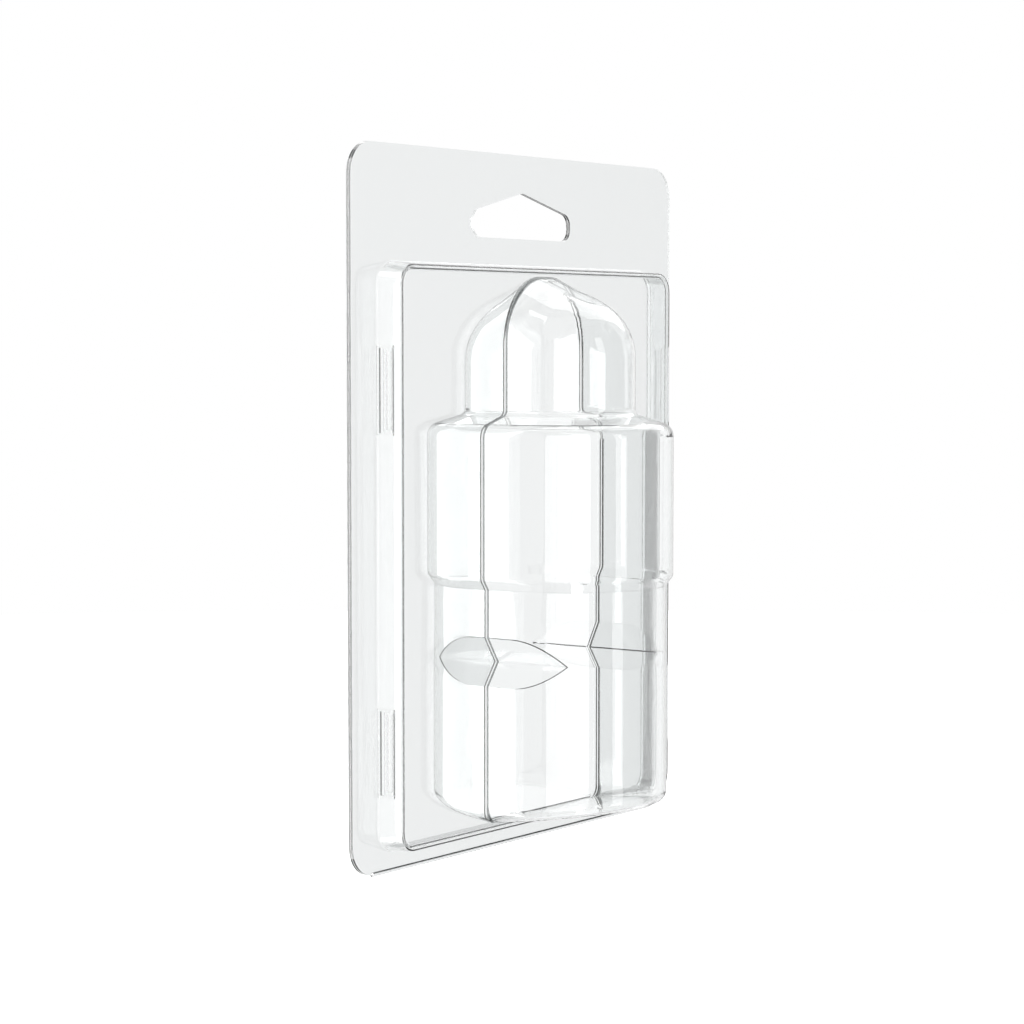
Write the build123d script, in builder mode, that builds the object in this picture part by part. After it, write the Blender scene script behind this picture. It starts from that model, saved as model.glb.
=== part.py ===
"""Clear hinged clamshell pack: two nested thermoformed halves round a slanted-top product pocket.

The front faces -Y and +Z is up. The origin is the hang point, at the peak of the hang hole on the
plane where the two flanges meet. Sketch heights are measured up from the fold line, and depths
are measured forward from the meeting plane.
"""
import os
from math import cos, radians, sin, tan

from build123d import *

os.makedirs("parts", exist_ok=True)

# Sheet and fits
sheet = 0.4
nest_gap = 0.3
flange_gap = 0.1
fold_gap = 0.1
snap_play = 0.2

# Flange
flange_width = 105.0
flange_height = 133.0
flange_corner = 6.0

# Hang hole, below the top edge of the flange
hole_margin = 7.3
hole_width = 32.0
hole_height = 8.8
hole_shoulder = 4.9
hole_end_round = 2.4
hole_peak_round = 1.0

# Platform raised in front of the flange, inside the bands that stay flat
side_band = 7.3
head_band = 21.2
foot_band = 3.5
platform_rise = 5.9
platform_corner = 4.5
platform_rim_round = 0.55
platform_root_round = 0.2
draft = 7.0

# Product pocket: half widths, and heights of its steps
base_margin = 2.5
base_half = 19.0
base_height = 26.2
base_round = 2.3
notch_half = 15.7
notch_fall = 4.4
notch_rise = 4.7
waist_half = 18.85
waist_height = 9.1
waist_step = 1.9
step_round = 1.5
drum_half = 20.2
drum_round = 2.7
shoulder_rise = 2.3
neck_half = 12.9
neck_round = 1.4
neck_stub = 4.2

# Slanted dome over the neck
dome_margin = 2.3
dome_height = 26.2
front_slant = 24.0
back_slant = 34.0
dome_round = 11.4

# Straight pocket walls, the round at the mouth, and the run past the mouth before the walls are trimmed
front_wall = 5.4
back_wall = 2.7
mouth_round = 0.15
overrun = 4.0

# Snaps on the side walls of the platform
snap_foot = 18.8
snap_head = 23.5
snap_length = 15.0
snap_depth = 1.8
snap_offset = 2.6
snap_proud = 0.35

# Values that follow from the sizes above
hang_height = flange_height - hole_margin
fold_line = -hang_height
draft_slope = tan(radians(draft))
platform_width = flange_width - 2 * side_band
platform_top = flange_height - head_band
platform_height = platform_top - foot_band
platform_middle = foot_band + platform_height / 2
back_rise = platform_rise - sheet - nest_gap
back_inset = sheet + nest_gap
front_axis = platform_rise + front_wall
back_axis = back_rise - sheet - back_wall
base_floor = foot_band + base_margin
base_top = base_floor + base_height
notch_height = base_top + notch_fall
waist_floor = notch_height + notch_rise
waist_top = waist_floor + waist_height
drum_floor = waist_top + waist_step
dome_top = platform_top - dome_margin
neck_floor = dome_top - dome_height
neck_split = neck_floor + neck_stub
drum_top = neck_floor - shoulder_rise
bead_length = flange_width - 2 * flange_corner
snap_heights = (foot_band + snap_foot, platform_top - snap_head)
snap_run = max(snap_proud - nest_gap, 0) / draft_slope + snap_play


def upright(depth):
    """Plane parallel to the flange at a depth, with its origin on the fold line."""
    return Plane(origin=(0, -depth, fold_line), x_dir=(1, 0, 0), z_dir=(0, -1, 0))


def flange_plate(start, end, lift):
    """Flange between two depths, with its bottom edge lifted off the fold line."""
    with BuildPart() as plate:
        with BuildSketch(upright(start)):
            with Locations((0, (flange_height + lift) / 2)):
                RectangleRounded(flange_width, flange_height - lift, flange_corner)
        extrude(amount=end - start)
    return plate.part


def platform_block(inset, start, end, rim_round):
    """Drafted block of the platform between two depths, drawn in by an inset."""
    drawn_in = inset + start * draft_slope
    with BuildPart() as block:
        with BuildSketch(upright(start)):
            with Locations((0, platform_middle)):
                RectangleRounded(
                    platform_width - 2 * drawn_in,
                    platform_height - 2 * drawn_in,
                    platform_corner - drawn_in,
                )
        extrude(amount=end - start, taper=draft)
        if rim_round > 0:
            fillet(block.faces().sort_by(Axis.Y)[0].edges(), rim_round)
    return block.part


def snap_pads(inset, before, after, over):
    """Pads on the drafted side walls at the snaps, each grown towards the flange, the front and its ends."""
    block = platform_block(inset, 0, platform_rise, 0)
    near = snap_offset - snap_depth / 2 - before
    far = snap_offset + snap_depth / 2 + after
    with BuildPart() as pads:
        for height in snap_heights:
            for side in (-1, 1):
                with Locations((side * platform_width / 2, -(near + far) / 2, fold_line + height)):
                    Box(2 * platform_corner, far - near, snap_length + 2 * over)
        add(block, mode=Mode.INTERSECT)
    return pads.part


def pocket_outline(inset):
    """Face of the pocket between the floor and the dome, drawn in by an inset."""
    with BuildSketch() as outline:
        with BuildLine():
            side = FilletPolyline(
                (0, base_floor - overrun),
                (base_half, base_floor - overrun),
                (base_half, base_top),
                (waist_half, waist_floor),
                (waist_half, waist_top),
                (drum_half, drum_floor),
                (drum_half, drum_top),
                (neck_half, neck_floor),
                (neck_half, neck_split + inset),
                radius=[0, 0, 0, 0, step_round, drum_round, neck_round],
            )
            Line(side @ 1, (0, neck_split + inset))
            mirror(about=Plane.YZ)
        make_face()
        if inset > 0:
            offset(amount=-inset, kind=Kind.INTERSECTION)
    return outline.sketch


def notches(inset):
    """Wedges of the two side notches, grown by an inset."""
    with BuildPart() as wedges:
        with BuildSketch(upright(0)):
            with BuildLine():
                Polyline(
                    (2 * base_half - notch_half, 2 * base_top - notch_height),
                    (notch_half, notch_height),
                    (2 * waist_half - notch_half, 2 * waist_floor - notch_height),
                    close=True,
                )
            make_face()
            if inset > 0:
                offset(amount=inset, kind=Kind.INTERSECTION)
            mirror(about=Plane.YZ)
        extrude(amount=2 * drum_half, both=True)
    return wedges.part


def closing_plane(depth, height, lean, facing, rising):
    """Plane that closes the pocket, up (1) or down (-1), and leans in towards its front (1) or back (-1)."""
    tilt = radians(lean)
    normal = Vector(0, -facing * sin(tilt), rising * cos(tilt))
    return Plane(origin=(0, -depth, fold_line + height), z_dir=normal)


def rim_edges(part, facing, rising):
    """Edges of the closing face of a pocket body, without the edge that runs past the mouth."""
    closing_face = part.faces().filter_by(GeomType.PLANE).sort_by(Axis.Z, reverse=rising < 0)[-1]
    return closing_face.edges().sort_by(Axis.Y, reverse=facing < 0)[:-1]


def dome(mouth, depth, axis_depth, slant, facing, inset):
    """Slanted dome over the neck, from the mouth plane towards the front (1) or the back (-1)."""
    radius = neck_half - inset
    start = mouth - facing * overrun
    with BuildPart() as body:
        with BuildSketch(Plane.XY.offset(fold_line + neck_split)):
            with BuildLine():
                nose = ThreePointArc(
                    (-radius, -axis_depth), (0, -axis_depth - facing * radius), (radius, -axis_depth)
                )
                Polyline(nose @ 1, (radius, -start), (-radius, -start), nose @ 0)
            make_face()
        extrude(amount=flange_height - neck_split)
        split(bisect_by=closing_plane(depth, dome_top, slant, facing, 1).offset(-inset), keep=Keep.BOTTOM)
        fillet(rim_edges(body.part, facing, 1), dome_round - inset)
        split(bisect_by=upright(mouth), keep=Keep.TOP if facing > 0 else Keep.BOTTOM)
    return body.part


def pocket(mouth, depth, axis_depth, slant, facing, inset):
    """Solid of the product pocket, from its mouth plane towards the front (1) or the back (-1)."""
    outline = pocket_outline(inset)
    start = mouth - facing * overrun
    with BuildPart() as body:
        with BuildSketch(upright(start)):
            add(outline)
        extrude(amount=axis_depth - start)
        with BuildSketch(upright(axis_depth)):
            add(outline)
            Rectangle(drum_half, flange_height, align=(Align.MIN, Align.MIN), mode=Mode.INTERSECT)
        revolve(axis=Axis((0, -axis_depth, 0), (0, 0, -facing)), revolution_arc=180)
        split(bisect_by=closing_plane(depth, base_floor, draft, facing, -1).offset(-inset), keep=Keep.BOTTOM)
        fillet(rim_edges(body.part, facing, -1), base_round - inset)
        split(bisect_by=upright(mouth), keep=Keep.TOP if facing > 0 else Keep.BOTTOM)
        add(notches(inset), mode=Mode.SUBTRACT)
        add(dome(mouth, depth, axis_depth, slant, facing, inset))
    return body.part


def opening_edges(part, depth):
    """Edges round the opening in the flat face at a depth."""
    margin = fold_gap / 2
    flat = part.faces().filter_by(Axis.Y).filter_by_position(Axis.Y, -depth - margin, -depth + margin)
    return flat.sort_by(SortBy.AREA)[-1].inner_wires()[0].edges()


def hang_hole():
    """Peaked hang hole through both flanges."""
    floor = hang_height - hole_height
    with BuildPart() as hole:
        with BuildSketch(upright(-2 * sheet)):
            with BuildLine():
                FilletPolyline(
                    (hole_width / 2, floor),
                    (hole_width / 2, floor + hole_shoulder),
                    (0, hang_height),
                    (-hole_width / 2, floor + hole_shoulder),
                    (-hole_width / 2, floor),
                    radius=[hole_end_round, hole_end_round, hole_peak_round, hole_end_round, hole_end_round],
                    close=True,
                )
            make_face()
        extrude(amount=4 * sheet)
    return hole.part


# Front half
front_pads = snap_pads(-snap_proud, snap_run + sheet, snap_play + sheet, snap_play + sheet)
front_hollows = snap_pads(sheet - snap_proud, snap_run, snap_play, snap_play)

with BuildPart() as front_void:
    add(platform_block(sheet, flange_gap, platform_rise - sheet, platform_rim_round - sheet))
    add(pocket(platform_rise - sheet, platform_rise, front_axis, front_slant, 1, sheet))
    fillet(opening_edges(front_void.part, platform_rise - sheet), mouth_round + sheet)
    add(front_hollows)

with BuildPart() as front_shell:
    add(flange_plate(flange_gap, flange_gap + sheet, fold_gap))
    add(platform_block(0, flange_gap, platform_rise, platform_rim_round))
    add(pocket(platform_rise, platform_rise, front_axis, front_slant, 1, 0))
    fillet(opening_edges(front_shell.part, platform_rise), mouth_round)
    fillet(opening_edges(front_shell.part, flange_gap + sheet), platform_root_round)
    add(front_pads)
    add(front_void.part, mode=Mode.SUBTRACT)
    fillet(opening_edges(front_shell.part, flange_gap), platform_root_round + sheet)
    add(hang_hole(), mode=Mode.SUBTRACT)
    with Locations((0, 0, fold_line)):
        Cylinder(
            sheet + fold_gap,
            bead_length + 2 * fold_gap,
            rotation=(0, 90, 0),
            mode=Mode.SUBTRACT,
        )

front_shell.part.label = "front_shell"
export_step(front_shell.part, "parts/front_shell.step")

# Back half
back_pads = snap_pads(back_inset - snap_proud, 0, 0, 0)
back_hollows = snap_pads(back_inset + sheet - snap_proud, -sheet, -sheet, -sheet)

with BuildPart() as back_void:
    with BuildSketch(upright(back_rise)):
        with Locations((0, platform_middle)):
            Rectangle(platform_width, platform_height)
    extrude(amount=sheet)
    add(pocket(back_rise, back_rise - sheet, back_axis, back_slant, -1, sheet))
    fillet(opening_edges(back_void.part, back_rise), mouth_round + sheet)

with BuildPart() as back_shell:
    add(flange_plate(-sheet, 0, 0))
    add(platform_block(back_inset, 0, back_rise, platform_rim_round))
    fillet(opening_edges(back_shell.part, 0), platform_root_round)
    add(back_pads)
    add(
        platform_block(back_inset + sheet, -sheet, back_rise - sheet, platform_rim_round - sheet),
        mode=Mode.SUBTRACT,
    )
    fillet(opening_edges(back_shell.part, -sheet), platform_root_round + sheet)
    add(back_hollows, mode=Mode.SUBTRACT)
    add(pocket(back_rise - sheet, back_rise - sheet, back_axis, back_slant, -1, 0))
    fillet(opening_edges(back_shell.part, back_rise - sheet), mouth_round)
    add(back_void.part, mode=Mode.SUBTRACT)
    add(hang_hole(), mode=Mode.SUBTRACT)
    with Locations((0, 0, fold_line)):
        Cylinder(sheet, bead_length, rotation=(0, 90, 0))

back_shell.part.label = "back_shell"
export_step(back_shell.part, "parts/back_shell.step")
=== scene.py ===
"""Clear clamshell pack in a white studio: sheet finish, light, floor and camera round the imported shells.

Lengths are in metres in the row frame, and angles are in degrees.
"""
import logging
from dataclasses import dataclass, field
from enum import Enum
from math import cos, pi, radians, sin
from typing import Tuple, Union

import bpy
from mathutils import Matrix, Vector


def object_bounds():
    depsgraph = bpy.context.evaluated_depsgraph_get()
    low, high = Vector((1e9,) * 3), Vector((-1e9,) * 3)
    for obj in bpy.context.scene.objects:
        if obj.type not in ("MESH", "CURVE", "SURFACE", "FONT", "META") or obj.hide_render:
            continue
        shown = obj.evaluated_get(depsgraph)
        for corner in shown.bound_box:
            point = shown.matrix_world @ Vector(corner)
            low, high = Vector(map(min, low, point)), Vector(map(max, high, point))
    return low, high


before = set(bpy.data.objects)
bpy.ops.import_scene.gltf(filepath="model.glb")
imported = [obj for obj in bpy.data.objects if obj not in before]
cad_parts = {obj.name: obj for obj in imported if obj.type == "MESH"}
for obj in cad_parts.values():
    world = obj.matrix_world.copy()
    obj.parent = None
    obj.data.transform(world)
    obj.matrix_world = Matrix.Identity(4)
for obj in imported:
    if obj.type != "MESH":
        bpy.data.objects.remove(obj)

Colour = Tuple[float, float, float, float]
Span = Tuple[float, float]
Value = Union[bpy.types.NodeSocket, float]

CAD_BOX = [list(corner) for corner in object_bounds()]
WHITE: Colour = (1.0, 1.0, 1.0, 1.0)
WHITE_LEVEL = 1.0
QUARTER_TURN = 90.0

log = logging.getLogger("clamshell")


class ShellNode(Enum):
    """Drawn halves of the pack, by their CAD node names."""

    FRONT = "front_shell"
    BACK = "back_shell"


def bearing(azimuth: float) -> Vector:
    """Level direction away from the pack.

    Args:
        azimuth: Turn from the front of the pack towards its right side, in degrees.

    Returns:
        The unit direction in the row frame.
    """
    turn = radians(azimuth)
    return Vector((sin(turn), -cos(turn), 0.0))


@dataclass(frozen=True)
class NodeBench:
    """Small sums in one node tree. Each value is a socket or a plain number."""

    tree: bpy.types.NodeTree

    def feed(self, socket: bpy.types.NodeSocket, value: Value) -> None:
        """Link a socket to a value, or set it to a plain number.

        Args:
            socket: Input that takes the value.
            value: Socket or number.
        """
        if isinstance(value, bpy.types.NodeSocket):
            self.tree.links.new(value, socket)
        else:
            socket.default_value = value

    def reckon(self, operation: str, first: Value, second: Value = 0.0) -> bpy.types.NodeSocket:
        """Work out a sum or a test of two values.

        Args:
            operation: Math operation.
            first: First value.
            second: Second value, which an operation on one value leaves out.

        Returns:
            The socket with the result, which is 1 where a test holds.
        """
        node = self.tree.nodes.new("ShaderNodeMath")
        node.operation = operation
        self.feed(node.inputs[0], first)
        self.feed(node.inputs[1], second)
        return node.outputs["Value"]

    def mix(self, factor: Value, first: Value, second: Value) -> bpy.types.NodeSocket:
        """Go from one value to another.

        Args:
            factor: 0 for the first value, 1 for the second.
            first: First value.
            second: Second value.

        Returns:
            The socket with the result.
        """
        node = self.tree.nodes.new("ShaderNodeMix")
        for name, value in (("Factor", factor), ("A", first), ("B", second)):
            self.feed(node.inputs[name], value)
        return node.outputs["Result"]

    def mix_colour(self, factor: Value, first: Colour, second: Colour) -> bpy.types.NodeSocket:
        """Go from one colour to another.

        Args:
            factor: 0 for the first colour, 1 for the second.
            first: First colour.
            second: Second colour.

        Returns:
            The socket with the colour.
        """
        node = self.tree.nodes.new("ShaderNodeMix")
        node.data_type = "RGBA"
        self.feed(node.inputs["Factor"], factor)
        colours = [socket for socket in node.inputs if socket.type == "RGBA"]
        for socket, colour in zip(colours, (first, second)):
            socket.default_value = colour
        return next(socket for socket in node.outputs if socket.type == "RGBA")

    def ramp(self, value: Value, span: Span, result: Span) -> bpy.types.NodeSocket:
        """Carry a span of values over to a span of results, held at both ends.

        Args:
            value: Value to carry over.
            span: Values at the two ends.
            result: Results at the two ends.

        Returns:
            The socket with the result.
        """
        node = self.tree.nodes.new("ShaderNodeMapRange")
        for name, number in zip(("From Min", "From Max", "To Min", "To Max"), span + result):
            node.inputs[name].default_value = number
        self.feed(node.inputs["Value"], value)
        return node.outputs["Result"]

    def noise(self, place: bpy.types.NodeSocket, scale: float, detail: float) -> bpy.types.NodeSocket:
        """Lay an even noise over the piece.

        Args:
            place: Coordinates of the noise.
            scale: Spots for each metre.
            detail: Finer layers on top of the coarse one.

        Returns:
            The socket with the noise.
        """
        node = self.tree.nodes.new("ShaderNodeTexNoise")
        node.inputs["Scale"].default_value = scale
        node.inputs["Detail"].default_value = detail
        self.tree.links.new(place, node.inputs["Vector"])
        return node.outputs["Fac"]

    def split(self, vector: bpy.types.NodeSocket) -> Tuple[bpy.types.NodeSocket, ...]:
        """Take a vector apart.

        Args:
            vector: Socket with the vector.

        Returns:
            The sockets with its X, Y and Z.
        """
        node = self.tree.nodes.new("ShaderNodeSeparateXYZ")
        self.tree.links.new(vector, node.inputs["Vector"])
        return node.outputs["X"], node.outputs["Y"], node.outputs["Z"]


@dataclass(frozen=True)
class ClearSheet:
    """Polished clear thermoformed sheet, slightly wavy where it was drawn.

    The die-cut edges lie outside the flange limits and face sideways. A dark band of painted shade runs
    round the crease at the pocket's mouth, forward from the platform's face, and is wider over the dome and
    at the foot.
    """

    tint: Colour = (0.985, 0.992, 0.992, 1.0)
    ior: float = 1.57
    polish: float = 0.0
    haze: float = 0.03
    haze_scale: float = 60.0
    haze_detail: float = 4.0
    haze_span: Span = (0.5, 0.8)
    wave_scale: float = 45.0
    wave_detail: float = 0.0
    wave_height: float = 0.00001
    depth_tint: Colour = (0.5, 0.52, 0.52, 1.0)
    depth_density: float = 95.0
    edge_frost: float = 0.03
    edge_turn: float = 0.3
    flange_inside: float = 0.0465
    flange_head: float = -0.013
    flange_foot: float = -0.1219
    # Painted shade: dark colour for the band round the crease at the pocket's mouth, standing in for the
    # shading seen there.
    fold_painted_shade: Colour = (0.14, 0.15, 0.15, 1.0)
    fold_width: float = 0.00024
    fold_slack: float = 0.000024
    fold_fade: Span = (0.6, 1.0)
    fold_head_extra: float = 0.0005
    fold_foot_extra: float = 0.0007
    fold_head: Span = (-0.025, -0.019)
    fold_foot: Span = (-0.1165, -0.119)
    mouth_depth: float = 0.0059
    mouth_half: float = 0.022
    mouth_head: float = -0.015
    mouth_foot: float = -0.121
    mouth_turn: float = 0.95

    def material(self) -> bpy.types.Material:
        """Build the see-through material.

        Returns:
            A material with waves, a trace of haze, frosted edges and a band of painted shade round the
            pocket's mouth, on Object coordinates.
        """
        material = bpy.data.materials.new("clear_sheet")
        material.use_nodes = True
        tree = material.node_tree
        bench = NodeBench(tree)
        shader = tree.nodes["Principled BSDF"]
        shader.inputs["IOR"].default_value = self.ior
        place = tree.nodes.new("ShaderNodeTexCoord")

        haze = bench.noise(place.outputs["Object"], self.haze_scale, self.haze_detail)
        bench.feed(shader.inputs["Roughness"], bench.ramp(haze, self.haze_span, (self.polish, self.haze)))

        bump = tree.nodes.new("ShaderNodeBump")
        bump.inputs["Distance"].default_value = self.wave_height
        bench.feed(bump.inputs["Height"],
                   bench.noise(place.outputs["Object"], self.wave_scale, self.wave_detail))
        bench.feed(shader.inputs["Normal"], bump.outputs["Normal"])

        depth = tree.nodes.new("ShaderNodeVolumeAbsorption")
        depth.inputs["Color"].default_value = self.depth_tint
        depth.inputs["Density"].default_value = self.depth_density
        bench.feed(tree.nodes["Material Output"].inputs["Volume"], depth.outputs["Volume"])

        bench.feed(shader.inputs["Transmission Weight"], self.frost_edges(bench, place))
        # Painted shade: the base colour goes dark in a band round the pocket's mouth.
        bench.feed(shader.inputs["Base Color"], self.paint_fold_shade(bench, place))
        return material

    def frost_edges(self, bench: NodeBench, place: bpy.types.Node) -> bpy.types.NodeSocket:
        """Whiten the die-cut edges of the flanges and the hang hole.

        Args:
            bench: Bench on the material's tree.
            place: Texture coordinates of the sheet.

        Returns:
            The socket with the share of light that the sheet lets through.
        """
        across, _, up = bench.split(place.outputs["Object"])
        facing = bench.split(place.outputs["Normal"])[1]
        flange = bench.reckon("GREATER_THAN", bench.reckon("ABSOLUTE", across), self.flange_inside)
        for side in (bench.reckon("GREATER_THAN", up, self.flange_head),
                     bench.reckon("LESS_THAN", up, self.flange_foot)):
            flange = bench.reckon("MAXIMUM", flange, side)
        sideways = bench.reckon("LESS_THAN", bench.reckon("ABSOLUTE", facing), self.edge_turn)
        edge = bench.reckon("MULTIPLY", flange, sideways)
        return bench.ramp(edge, (0.0, 1.0), (1.0, 1.0 - self.edge_frost))

    def paint_fold_shade(self, bench: NodeBench, place: bpy.types.Node) -> bpy.types.NodeSocket:
        """Paint shade as a dark band round the crease at the pocket's mouth, widest over the dome and at the
        foot.

        Args:
            bench: Bench on the material's tree.
            place: Texture coordinates of the sheet.

        Returns:
            The socket with the colour of the sheet, dark in the band of painted shade.
        """
        across, back, up = bench.split(place.outputs["Object"])
        facing = bench.split(place.outputs["Normal"])[1]
        front = bench.reckon("MULTIPLY", back, -1.0)
        depth = bench.reckon("SUBTRACT", front, self.mouth_depth)
        head = bench.ramp(up, self.fold_head, (0.0, self.fold_head_extra))
        foot = bench.ramp(up, self.fold_foot, (0.0, self.fold_foot_extra))
        width = bench.reckon("ADD", bench.reckon("ADD", head, foot), self.fold_width)
        # Mask of the painted shade, full at the mouth's edge and fading out across the band.
        painted_shade_mask = bench.ramp(bench.reckon("DIVIDE", depth, width), self.fold_fade, (1.0, 0.0))
        for side in (bench.reckon("GREATER_THAN", depth, -self.fold_slack),
                     bench.reckon("LESS_THAN", bench.reckon("ABSOLUTE", across), self.mouth_half),
                     bench.reckon("LESS_THAN", up, self.mouth_head),
                     bench.reckon("GREATER_THAN", up, self.mouth_foot),
                     bench.reckon("LESS_THAN", bench.reckon("ABSOLUTE", facing), self.mouth_turn)):
            painted_shade_mask = bench.reckon("MULTIPLY", painted_shade_mask, side)
        return bench.mix_colour(painted_shade_mask, self.tint, self.fold_painted_shade)


@dataclass
class PackShells:
    """The two nested halves, which keep their CAD shape and take the clear sheet."""

    finish: ClearSheet = field(default_factory=ClearSheet)

    def dress(self) -> None:
        """Put the clear sheet on both halves."""
        material = self.finish.material()
        for shell in ShellNode:
            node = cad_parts[shell.value]
            for place in node.material_slots:
                place.material = material
            log.info("dressed %s", shell.value)


@dataclass(frozen=True)
class Softbox:
    """Flat studio lamp that stands round the pack and faces it."""

    name: str
    azimuth: float
    width: float
    height: float
    radiance: float
    distance: float = 1.2
    lift: float = -0.05
    elevation: float = 0.0
    seen_through: bool = False

    def stand(self) -> bpy.types.Object:
        """Put the lamp in place.

        Returns:
            The lamp object, turned to the pack.
        """
        lamp = bpy.data.lights.new(self.name, "AREA")
        lamp.shape = "RECTANGLE"
        lamp.size = self.width
        lamp.size_y = self.height
        lamp.energy = self.radiance * pi * self.width * self.height
        place = bpy.data.objects.new(self.name, lamp)
        bpy.context.scene.collection.objects.link(place)
        level = bearing(self.azimuth) * cos(radians(self.elevation))
        away = level + Vector((0.0, 0.0, sin(radians(self.elevation))))
        place.location = away * self.distance + Vector((0.0, 0.0, self.lift))
        place.rotation_euler = away.to_track_quat("Z", "Y").to_euler()
        place.visible_transmission = self.seen_through
        place.visible_camera = False
        return place


@dataclass(frozen=True)
class StudioWhite:
    """White that is full to the camera and straight through the sheet, with levels for other rays.

    The fill level lights other surfaces, the inner level is seen by way of a reflection inside the pack, and
    the glossy level is seen as a reflection on its outside.
    """

    fill: float
    inner: float
    glossy: float
    matt: float = 0.9
    one_reflection: float = 0.5

    def level(self, tree: bpy.types.NodeTree) -> bpy.types.NodeSocket:
        """Level of light by the kind of ray that looks.

        Args:
            tree: Node tree to build in.

        Returns:
            The socket with the level.
        """
        bench = NodeBench(tree)
        path = tree.nodes.new("ShaderNodeLightPath")
        reflected = bench.reckon("GREATER_THAN", path.outputs["Glossy Depth"], self.one_reflection)
        through = bench.mix(reflected, WHITE_LEVEL, self.inner)
        level = bench.mix(path.outputs["Is Glossy Ray"], self.fill, self.glossy)
        level = bench.mix(path.outputs["Is Transmission Ray"], level, through)
        return bench.mix(path.outputs["Is Camera Ray"], level, WHITE_LEVEL)

    def material(self, name: str, colour: Colour) -> bpy.types.Material:
        """Build the white as a matt surface.

        Args:
            name: Name of the material.
            colour: Colour under the lamps, on top of its own light.

        Returns:
            The material.
        """
        material = bpy.data.materials.new(name)
        material.use_nodes = True
        tree = material.node_tree
        shader = tree.nodes["Principled BSDF"]
        shader.inputs["Base Color"].default_value = colour
        shader.inputs["Roughness"].default_value = self.matt
        shader.inputs["Specular IOR Level"].default_value = 0.0
        shader.inputs["Emission Color"].default_value = WHITE
        tree.links.new(self.level(tree), shader.inputs["Emission Strength"])
        return material


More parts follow.
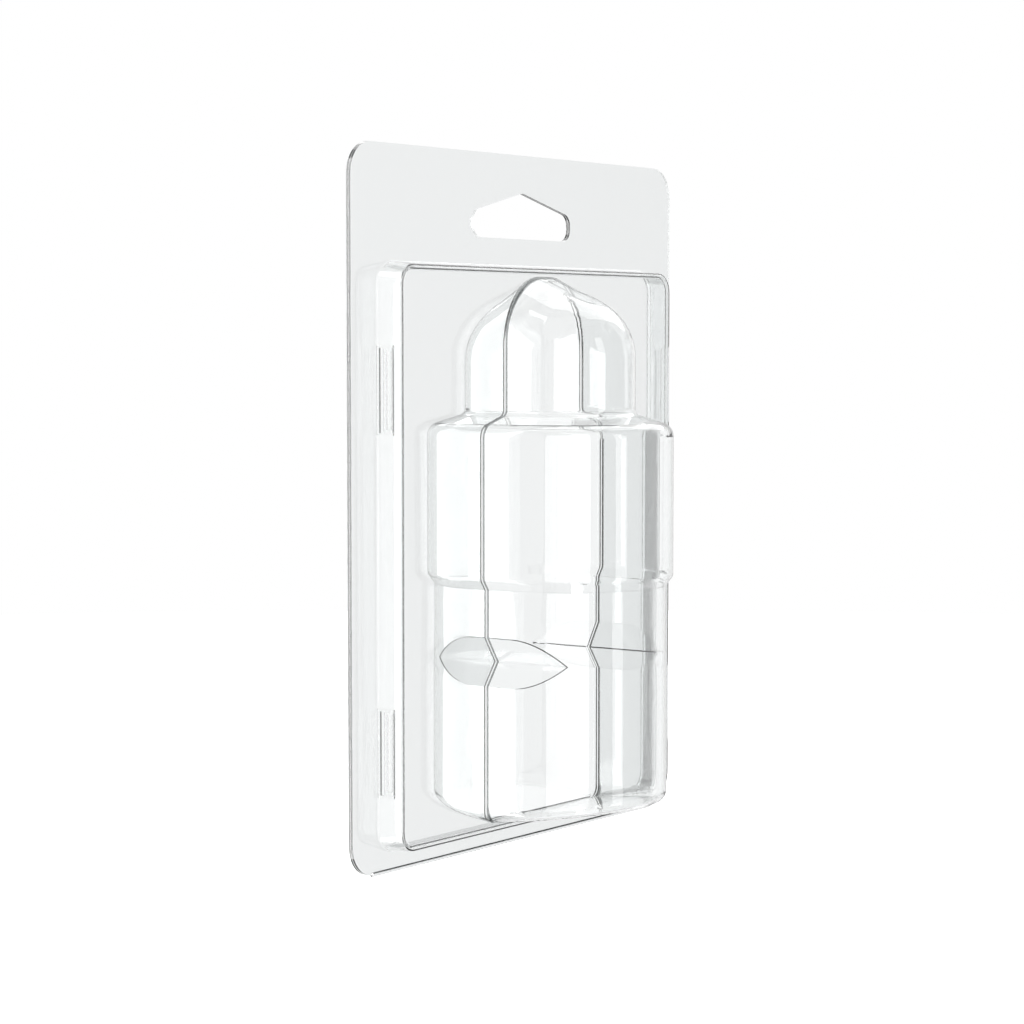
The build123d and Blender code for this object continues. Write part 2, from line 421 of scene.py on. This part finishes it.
@dataclass
class Studio:
    """White studio: room light, a wrapped backdrop, softboxes and a pale floor below the hanging pack."""

    room_white: StudioWhite = StudioWhite(fill=0.4, inner=0.85, glossy=0.16)
    floor_drop: float = 0.25
    floor_size: float = 12.0
    floor_colour: Colour = (0.82, 0.82, 0.82, 1.0)
    floor_white: StudioWhite = StudioWhite(fill=0.0, inner=1.0, glossy=1.0)
    backdrop_colour: Colour = (0.0, 0.0, 0.0, 1.0)
    backdrop_white: StudioWhite = StudioWhite(fill=0.3, inner=1.2, glossy=0.66)
    backdrop_from: float = 60.0
    backdrop_to: float = 242.0
    backdrop_steps: int = 48
    backdrop_radius: float = 3.0
    backdrop_height: float = 6.0
    softboxes: Tuple[Softbox, ...] = (
        Softbox("softbox_front", azimuth=-55.5, width=1.09, height=1.6, radiance=2.6),
        Softbox("softbox_side", azimuth=4.0, width=0.29, height=1.6, radiance=2.6),
        Softbox("softbox_left", azimuth=-146.0, width=1.74, height=2.2, radiance=3.6),
        Softbox("softbox_top", azimuth=115.0, width=1.6, height=1.6, radiance=2.2, elevation=55.0),
        Softbox("strip_left", azimuth=-117.5, width=0.028, height=0.5, radiance=3.0, distance=0.1127,
                seen_through=True),
    )

    def light_room(self) -> None:
        """Make the world white to the camera and a soft grey room to reflections."""
        world = bpy.data.worlds.new("studio_room")
        bpy.context.scene.world = world
        world.use_nodes = True
        tree = world.node_tree
        background = tree.nodes["Background"]
        background.inputs["Color"].default_value = WHITE
        tree.links.new(self.room_white.level(tree), background.inputs["Strength"])

    def lay_floor(self, below: float) -> bpy.types.Object:
        """Lay the pale floor.

        Args:
            below: Lowest height of the pack, in metres.

        Returns:
            The floor object.
        """
        bpy.ops.object.select_all(action="DESELECT")
        bpy.ops.mesh.primitive_plane_add(size=self.floor_size, location=(0.0, 0.0, below - self.floor_drop))
        floor = bpy.context.object
        floor.name = "studio_floor"
        floor.data.materials.append(self.floor_white.material("floor_white", self.floor_colour))
        floor.visible_glossy = False
        floor.visible_transmission = False
        return floor

    def hang_backdrop(self) -> bpy.types.Object:
        """Hang the white backdrop round the back of the pack, from one upright edge that is spun.

        Returns:
            The backdrop object.
        """
        bpy.ops.object.select_all(action="DESELECT")
        bpy.ops.mesh.primitive_plane_add(size=1.0, location=(0.0, 0.0, 0.0))
        backdrop = bpy.context.object
        backdrop.name = "studio_backdrop"
        bpy.ops.object.mode_set(mode="EDIT")
        bpy.ops.mesh.select_all(action="SELECT")
        bpy.ops.mesh.delete(type="ONLY_FACE")
        bpy.ops.object.mode_set(mode="OBJECT")

        mesh = backdrop.data
        start = bearing(self.backdrop_from) * self.backdrop_radius
        half = Vector((0.0, 0.0, self.backdrop_height / 2))
        mesh.vertices[0].co, mesh.vertices[1].co = start - half, start + half
        for edge in mesh.edges:
            edge.select = set(edge.vertices) == {0, 1}
        for vertex in mesh.vertices:
            vertex.select = vertex.index in (0, 1)
        bpy.ops.object.mode_set(mode="EDIT")
        bpy.ops.mesh.select_all(action="INVERT")
        bpy.ops.mesh.delete(type="VERT")
        bpy.ops.mesh.select_all(action="SELECT")
        sweep = radians(self.backdrop_to - self.backdrop_from)
        bpy.ops.mesh.spin(steps=self.backdrop_steps, angle=-sweep, center=(0.0, 0.0, 0.0),
                          axis=(0.0, 0.0, 1.0))
        bpy.ops.object.mode_set(mode="OBJECT")
        backdrop.data.materials.append(self.backdrop_white.material("backdrop_white", self.backdrop_colour))
        return backdrop

    def build(self, below: float) -> None:
        """Set up room, floor, backdrop and lamps below and round the pack.

        Args:
            below: Lowest height of the pack, in metres.
        """
        self.light_room()
        for piece in (self.lay_floor(below), self.hang_backdrop()):
            log.info("built %s", piece.name)
        for softbox in self.softboxes:
            softbox.stand()
            log.info("stood %s", softbox.name)


@dataclass
class StudioCamera:
    """Long-lens camera at the photograph's viewing angle. Lens and sensor are in millimetres."""

    azimuth: float = -54.02
    distance: float = 0.5235
    aside: float = -0.00169
    height: float = -0.0293
    look_down: float = 3.54
    lens: float = 94.64
    sensor: float = 36.0

    def stand(self) -> bpy.types.Object:
        """Put the camera in place and make it the scene's camera.

        Returns:
            The camera object.
        """
        data = bpy.data.cameras.new("studio_camera")
        data.lens = self.lens
        data.sensor_width = self.sensor
        place = bpy.data.objects.new("studio_camera", data)
        bpy.context.scene.collection.objects.link(place)
        away = bearing(self.azimuth) * self.distance
        across = bearing(self.azimuth + QUARTER_TURN) * self.aside
        place.location = away + across + Vector((0.0, 0.0, self.height))
        place.rotation_euler = (radians(QUARTER_TURN - self.look_down), 0.0, radians(self.azimuth))
        bpy.context.scene.camera = place
        return place


def main() -> None:
    """Dress the pack, set up the studio and stand the camera."""
    logging.basicConfig(level=logging.INFO, format="%(name)s: %(message)s")
    bpy.context.scene.view_settings.view_transform = "Standard"
    PackShells().dress()
    Studio().build(below=CAD_BOX[0][2])
    StudioCamera().stand()
    log.info("pack finished")


if __name__ == "__main__":
    main()
